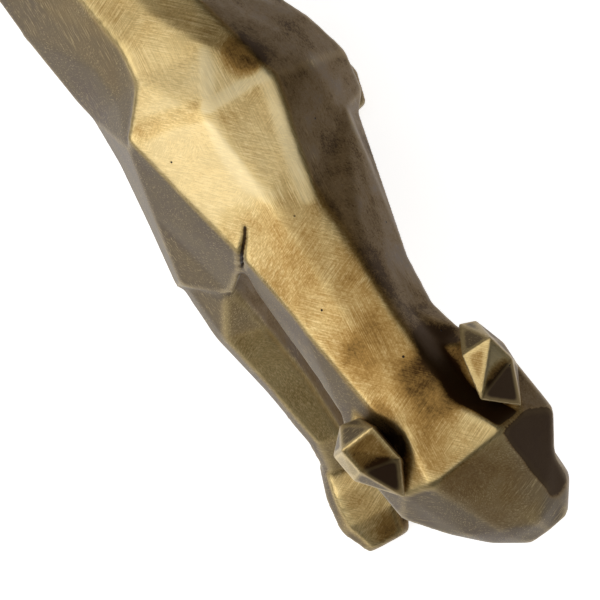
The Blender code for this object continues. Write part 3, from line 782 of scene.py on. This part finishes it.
def plain_steel():
    """Drawn steel rod with faint draw lines."""
    f = Finish("drawn_steel")
    lines = f.noise(f.turned(0, (60, 2500, 2500)), 1.0, 2.0)
    f.set(
        Base_Color=f.mix(lines, (0.42, 0.43, 0.45), (0.60, 0.61, 0.63)),
        Metallic=1.0,
        Roughness=0.28 + lines * 0.2,
        Normal=f.bump(lines, 0.03 * MM, 0.5),
    )
    return f.material


def glass_fibre():
    """Glass-fibre tube: resin over a fine weave."""
    f = Finish("glass_fibre_tube")
    threads = {"Vector": f.place, "Scale": 450.0}
    warp = f.node("ShaderNodeTexWave", {"bands_direction": "Z"}, threads, "Fac")
    weft = f.node("ShaderNodeTexWave", {"bands_direction": "Y"}, threads, "Fac")
    weave = warp * weft
    f.set(
        Base_Color=f.mix(weave, (0.55, 0.50, 0.36), (0.76, 0.72, 0.56)),
        Roughness=0.45 + weave * 0.15,
        Normal=f.bump(weave, 0.1 * MM, 0.6),
    )
    return f.material


def black_rubber():
    """Moulded black rubber with a fine matt grain."""
    f = Finish("moulded_rubber")
    grain = f.noise(f.place, 900.0, 3.0)
    f.set(
        Base_Color=f.mix(grain, (0.018, 0.018, 0.018), (0.045, 0.043, 0.040)),
        Roughness=0.55 + grain * 0.2,
        Normal=f.bump(grain, 0.08 * MM, 0.6),
    )
    return f.material


def dark_felt():
    """Pressed felt with a fine tangle of fibres."""
    f = Finish("dark_felt")
    fibres = f.noise(f.turned(30, (300, 1800, 1800)), 1.0, 4.0, 0.7)
    tangle = f.noise(f.turned(-50, (400, 2200, 1500)), 1.0, 4.0, 0.7)
    fluff = fibres * 0.5 + tangle * 0.5
    f.set(
        Base_Color=f.mix(fluff, (0.020, 0.018, 0.016), (0.085, 0.075, 0.066)),
        Roughness=0.85 + fluff * 0.1,
        Normal=f.bump(fluff, 0.3 * MM, 0.9),
    )
    return f.material


def pale_floor(settings):
    """A plain pale floor that glows round the statue like a light table: painted light that washes out
    the statue's shadow.
    """
    f = Finish("pale_floor")
    mottle = f.noise(f.place, 6.0, 2.0)
    offset = f.vector("SUBTRACT", {0: f.place, 1: settings.glow_middle})
    away = f.vector("LENGTH", {0: offset}, "Value")
    glow = f.rise(away, *GLOW_EDGE)
    f.set(
        Base_Color=f.mix(mottle, (0.84, 0.84, 0.84), (0.86, 0.86, 0.86)),
        Roughness=0.7 + mottle * 0.1,
        Emission_Color=f.mix(glow, (0.0, 0.0, 0.0), (1.0, 1.0, 1.0)),
        Emission_Strength=settings.table_glow,
    )
    return f.material


# --------------------------------------------------------------------------------------------------
# Pieces
# --------------------------------------------------------------------------------------------------
def brass_finish():
    """The one antique brass material, made when it is first asked for."""
    made = bpy.data.materials.get(BRASS_NAME)
    return made or antique_brass(bpy.context.scene.statue_finish)


def placed(point):
    """A drawn position in metres, where the trunk stands."""
    return np.array(point) * MM + SHIFT


def distance_to_path(points, path):
    """Each point's distance from a path of straight lengths."""
    path = placed(path)
    nearest = np.full(len(points), np.inf)
    for start, end in zip(path, path[1:]):
        length = end - start
        t = np.clip(((points - start) @ length) / (length @ length), 0, 1)
        nearest = np.minimum(nearest, np.linalg.norm(points - start - t[:, None] * length, axis=1))
    return nearest


def soften_along(skin, path, width, radius, grain):
    """Rounds the skin within a width of a path, as if the casting had been rubbed down there."""
    share = 0.5 * smooth_step(width, width * RIDGE_CORE, distance_to_path(skin.points, path))
    skin.points = skin.relaxed(skin.points, skin.rounds_for(radius, grain), share)


class STATUE_OT_castings(bpy.types.Operator):
    """Builds the skins of the trunk, the neck and head, the legs and the tail"""

    bl_idname = "statue.castings"
    bl_label = "Castings"

    def execute(self, context):
        settings = context.scene.statue_casting
        grain = settings.skin_grain
        parts = [grown_copy(node, settings.joint_fill) for node in (*CASTINGS, *FILLERS)]
        skin = Skin(*remeshed(joined(parts), grain))
        for path, width, radius in SOFT_PATHS:
            soften_along(skin, path, width * MM, radius * MM, grain)
        skin.points = skin.relaxed(skin.points, skin.rounds_for(settings.edge_softness, grain))
        carve_cleft(skin)
        seat_stopper(skin)
        normals = skin.normals()
        facts = surface_facts(skin, grain, BODY_RIM_SHEEN)
        owner = nearest_casting(skin.points[skin.quads].mean(1))
        finish = brass_finish()
        for index, (node, name) in enumerate(CASTINGS.items()):
            points, faces, directions, values = cut_out(skin, normals, facts, owner == index)
            piece = make_piece(name, points, faces, directions, values, finish)
            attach(piece, BODY)
            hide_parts(node)
        return {"FINISHED"}


class STATUE_OT_ears(bpy.types.Operator):
    """Builds the two ears, with crisper edges than the body"""

    bl_idname = "statue.ears"
    bl_label = "Ears"

    def execute(self, context):
        settings = context.scene.statue_casting
        grain = settings.ear_grain
        finish = brass_finish()
        for node, name in EARS.items():
            part = grown_copy(node, settings.ear_fill)
            skin = Skin(*remeshed(joined([part]), grain))
            skin.points = skin.relaxed(skin.points, skin.rounds_for(settings.ear_softness, grain))
            facts = surface_facts(skin, grain, EAR_RIM_SHEEN)
            piece = make_piece(name, skin.points, skin.quads.tolist(), skin.normals(), facts, finish)
            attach(piece, BODY)
            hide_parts(node)
        return {"FINISHED"}


def give_finish(nodes, finish):
    """Gives carried-over CAD nodes a finish."""
    for node in nodes:
        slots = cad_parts[node].material_slots
        for slot in slots:
            slot.link = "OBJECT"
            slot.material = finish


class STATUE_OT_fittings(bpy.types.Operator):
    """Finishes the rods, the pins, the collar and the stopper"""

    bl_idname = "statue.fittings"
    bl_label = "Fittings"

    def execute(self, context):
        give_finish(STEEL_FITTINGS, plain_steel())
        give_finish(["neck_collar"], glass_fibre())
        give_finish(["belly_stopper"], black_rubber())
        return {"FINISHED"}


class STATUE_OT_pads(bpy.types.Operator):
    """Finishes the felt pads under the paws"""

    bl_idname = "statue.pads"
    bl_label = "Felt pads"

    def execute(self, context):
        give_finish(PADS, dark_felt())
        return {"FINISHED"}


# --------------------------------------------------------------------------------------------------
# Studio
# --------------------------------------------------------------------------------------------------
def add_softbox(name, place, target, width, depth, glow, colour):
    """A softbox that faces a target, with the brightness of its face."""
    light = bpy.data.lights.new(name, "AREA")
    light.shape = "RECTANGLE"
    light.size = width
    light.size_y = depth
    light.energy = glow * math.pi * width * depth
    light.color = colour
    made = bpy.data.objects.new(name, light)
    made.location = place
    made.rotation_euler = (Vector(target) - Vector(place)).to_track_quat("-Z", "Y").to_euler()
    bpy.context.scene.collection.objects.link(made)


class STATUE_OT_stage(bpy.types.Operator):
    """Sets up the floor, the lights and the camera"""

    bl_idname = "statue.stage"
    bl_label = "Studio"

    def execute(self, context):
        settings = context.scene.statue_studio
        sheet = bmesh.new()
        bmesh.ops.create_grid(sheet, x_segments=2, y_segments=2, size=FLOOR_REACH)
        mesh = bpy.data.meshes.new("floor")
        sheet.to_mesh(mesh)
        sheet.free()
        mesh.materials.append(pale_floor(settings))
        floor = bpy.data.objects.new("floor", mesh)
        context.scene.collection.objects.link(floor)

        world = bpy.data.worlds.new("studio")
        world.use_nodes = True
        background = world.node_tree.nodes["Background"]
        background.inputs["Color"].default_value = ROOM_COLOUR
        background.inputs["Strength"].default_value = settings.room
        context.scene.world = world

        target = Vector(settings.target) + Vector(SHIFT)
        for name, place, width, depth, glow in SOFTBOXES:
            add_softbox(name, place, target, width, depth, getattr(settings, glow), SOFTBOX_COLOUR)

        back = Vector((math.tan(settings.tilt_forward), math.tan(settings.tilt_left), 1.0)).normalized()
        upright = (Vector((1, 0, 0)) - Vector((1, 0, 0)).dot(back) * back).normalized()
        sideways = back.cross(upright)
        turn_right = math.cos(settings.roll)
        turn_up = math.sin(settings.roll)
        right = sideways * turn_right + upright * turn_up
        up = back.cross(right)
        place = target + back * settings.distance
        camera = bpy.data.cameras.new("camera")
        camera.lens = settings.lens
        camera.clip_start = 0.01
        holder = bpy.data.objects.new("camera", camera)
        turn = Matrix((right, up, back)).transposed().to_4x4()
        holder.matrix_world = Matrix.Translation(place) @ turn
        context.scene.collection.objects.link(holder)
        context.scene.camera = holder
        context.scene.view_settings.view_transform = "Standard"
        return {"FINISHED"}


class STATUE_PT_sidebar(bpy.types.Panel):
    """Lists the statue's operators"""

    bl_idname = "STATUE_PT_sidebar"
    bl_label = "Statue"
    bl_space_type = "VIEW_3D"
    bl_region_type = "UI"
    bl_category = "Statue"

    def draw(self, context):
        for operator in OPERATORS:
            self.layout.operator(operator.bl_idname)


OPERATORS = (STATUE_OT_castings, STATUE_OT_ears, STATUE_OT_fittings, STATUE_OT_pads, STATUE_OT_stage)
SETTINGS = {
    "statue_casting": CastingSettings,
    "statue_finish": FinishSettings,
    "statue_studio": StudioSettings,
}


def register():
    """Registers the settings, the operators and the panel."""
    for made in (*SETTINGS.values(), *OPERATORS, STATUE_PT_sidebar):
        bpy.utils.register_class(made)
    for name, group in SETTINGS.items():
        setattr(bpy.types.Scene, name, bpy.props.PointerProperty(type=group))


def unregister():
    """Removes what register added."""
    for name in SETTINGS:
        delattr(bpy.types.Scene, name)
    for made in reversed((*SETTINGS.values(), *OPERATORS, STATUE_PT_sidebar)):
        bpy.utils.unregister_class(made)


def main():
    """Builds the whole statue and its studio."""
    register()
    for operator in OPERATORS:
        group, name = operator.bl_idname.split(".")
        getattr(getattr(bpy.ops, group), name)()


if __name__ == "__main__":
    main()
